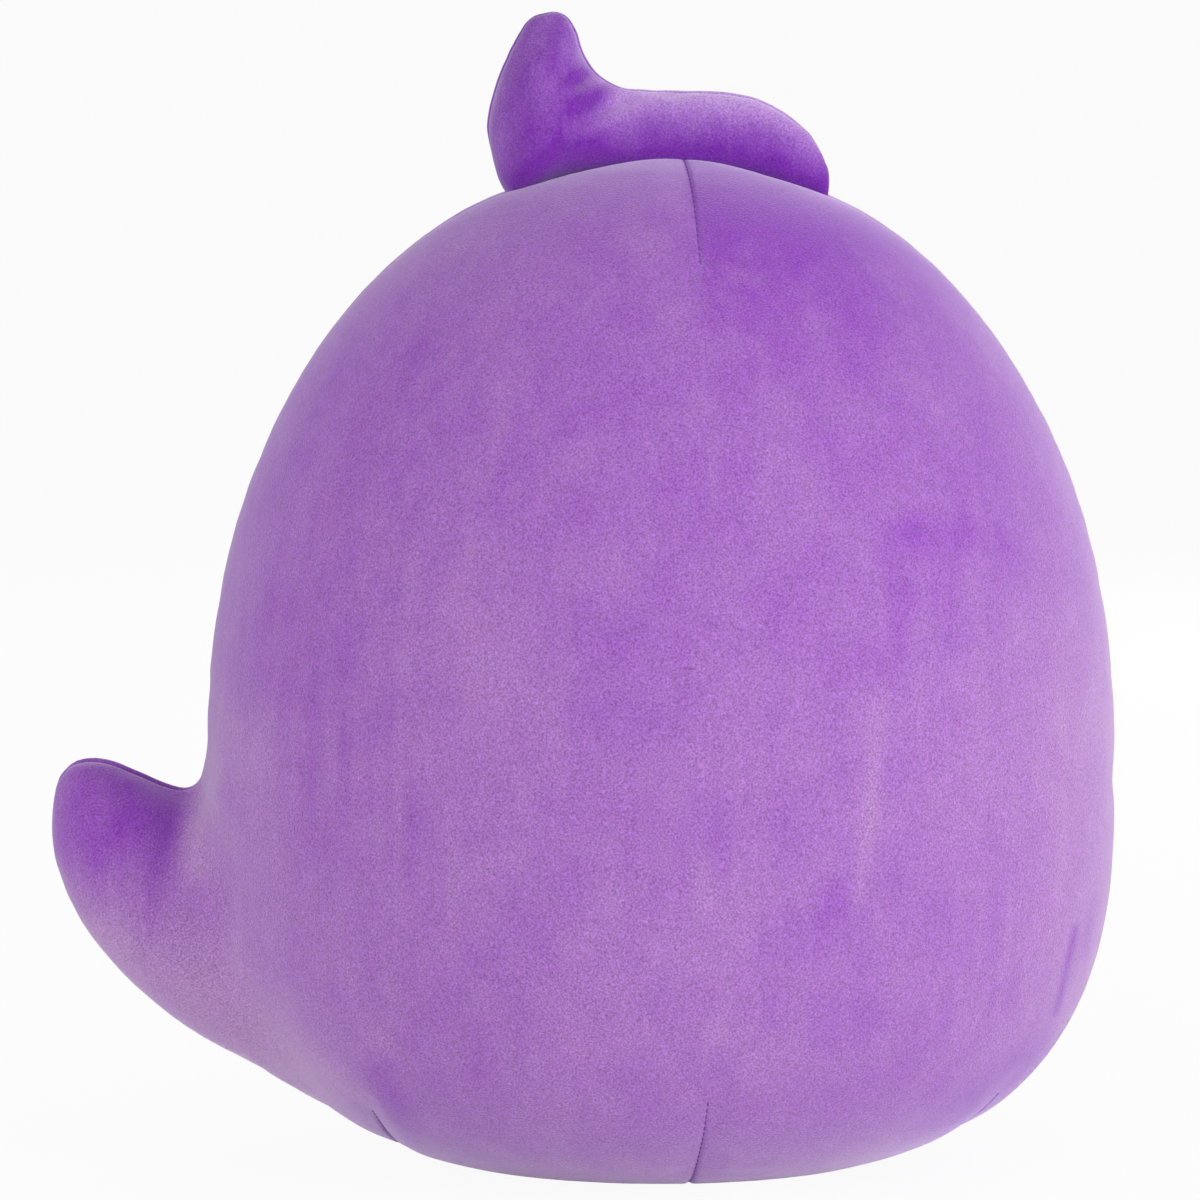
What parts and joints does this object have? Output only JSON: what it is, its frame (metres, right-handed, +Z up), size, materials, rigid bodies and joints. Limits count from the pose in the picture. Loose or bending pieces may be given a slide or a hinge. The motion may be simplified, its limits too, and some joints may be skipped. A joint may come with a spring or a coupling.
{
  "type": "plush ghost",
  "caption": "Stuffed velour ghost toy with an egg-shaped body, a tail swept up at one side and a curled tuft that folds on the crown's seam.",
  "frame": {"origin": "on the floor under the body's axis, on the back panel's flat seat just behind the seam", "axes": "+Z up; the face looks along -Y, the back along +Y; the tail points to +X"},
  "size_m": [0.3637, 0.25, 0.391],
  "materials": {
    "velour": "matte",
    "filling": "matte",
    "thread": "satin",
    "embroidery": "satin",
    "backing": "matte"
  },
  "bodies": {
    "body": {"back_body_panel": "velour", "front_body_panel": "velour", "tail_back_panel": "velour", "tail_front_panel": "velour", "body_filling": "filling", "tail_filling": "filling", "body_seam_thread": "thread", "closing_seam_thread": "thread", "tail_seam_thread": "thread", "back_crown_dart_thread": "thread", "back_base_dart_thread": "thread", "back_tail_side_dart_thread": "thread", "back_far_side_dart_thread": "thread", "front_crown_dart_thread": "thread", "front_base_dart_thread": "thread", "front_tail_side_dart_thread": "thread", "front_far_side_dart_thread": "thread", "left_eye_embroidery": "embroidery", "right_eye_embroidery": "embroidery", "mouth_embroidery": "embroidery", "face_backing": "backing"},
    "tuft": {"tuft_back_panel": "velour", "tuft_front_panel": "velour", "tuft_filling": "filling", "tuft_seam_thread": "thread"}
  },
  "joints": [
    {"name": "tuft_fold", "type": "hinge", "parent": "body", "child": "tuft", "pos_m": [0, -0.008, 0.3415], "axis": [1, 0, 0], "range_deg": [-35, 35], "stiffness_Nm_per_rad": 0.02}
  ]
}
